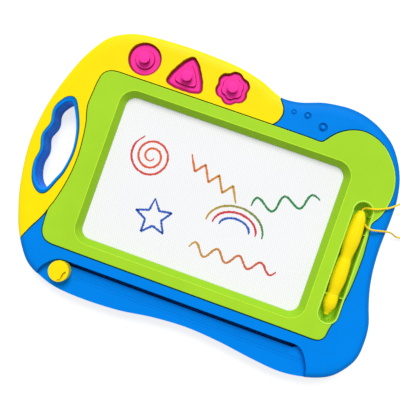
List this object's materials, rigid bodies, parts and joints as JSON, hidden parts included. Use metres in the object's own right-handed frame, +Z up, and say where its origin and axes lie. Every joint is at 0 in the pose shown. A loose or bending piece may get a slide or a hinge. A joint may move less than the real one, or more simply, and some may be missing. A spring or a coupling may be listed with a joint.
{
  "type": "magnetic drawing board",
  "caption": "Flat moulded board with a recessed magnetic screen, sliding eraser knob, three shape stamps in wells, a tethered pen in its tray and a grip opening at the left.",
  "frame": {"origin": "on the flat underside, straight below the middle of the screen", "axes": "+X along the screen's long side towards the pen, +Y towards the stamps, +Z up out of the screen"},
  "size_m": [0.4697, 0.3174, 0.0328],
  "materials": {
    "yellow_plastic": "glossy moulded yellow",
    "green_plastic": "satin-gloss moulded lime green",
    "blue_plastic": "glossy moulded bright blue",
    "magenta_plastic": "glossy moulded magenta",
    "white_plastic": "plain white",
    "screen_film": "satin film over a fine honeycomb, with drawn lines",
    "dark_foam": "thin adhesive foam",
    "magnet": "dark magnetic rubber",
    "steel": "zinc-plated steel",
    "cord": "thin twisted yellow cord"
  },
  "bodies": {
    "root": {"rear_cover": "blue_plastic", "front_frame": "blue_plastic", "top_panel": "yellow_plastic", "screen_bezel": "green_plastic", "screen_gasket": "dark_foam", "screen_front_film": "screen_film", "screen_core": "white_plastic", "screen_back_film": "screen_film", "cover_screw_1": "steel", "cover_screw_2": "steel", "cover_screw_3": "steel", "cover_screw_4": "steel", "cover_screw_5": "steel", "cover_screw_6": "steel", "cover_screw_7": "steel", "cover_screw_8": "steel", "cord_anchor": "cord", "cord_pen_stretch": "cord", "cord_coil": "cord", "cord_anchor_stretch": "cord"},
    "eraser": {"eraser_knob": "yellow_plastic", "eraser_slider": "blue_plastic", "eraser_magnet": "magnet"},
    "circle_stamp": {"stamp_circle": "magenta_plastic", "stamp_circle_magnet": "magnet"},
    "triangle_stamp": {"stamp_triangle": "magenta_plastic", "stamp_triangle_magnet": "magnet"},
    "flower_stamp": {"stamp_flower": "magenta_plastic", "stamp_flower_magnet": "magnet"},
    "pen": {"pen_barrel": "yellow_plastic", "pen_nose": "yellow_plastic", "pen_magnet": "steel", "pen_cord_plug": "cord"}
  },
  "joints": [
    {"name": "eraser_slide", "type": "slide", "parent": "root", "child": "eraser", "axis": [1, 0, 0], "range_m": [0, 0.276]},
    {"name": "circle_stamp_lift", "type": "slide", "parent": "root", "child": "circle_stamp", "axis": [0, 0, 1], "range_m": [0, 0.03]},
    {"name": "triangle_stamp_lift", "type": "slide", "parent": "root", "child": "triangle_stamp", "axis": [0, 0, 1], "range_m": [0, 0.03]},
    {"name": "flower_stamp_lift", "type": "slide", "parent": "root", "child": "flower_stamp", "axis": [0, 0, 1], "range_m": [0, 0.03]},
    {"name": "pen_lift", "type": "slide", "parent": "root", "child": "pen", "axis": [0, 0, 1], "range_m": [0, 0.036]}
  ]
}
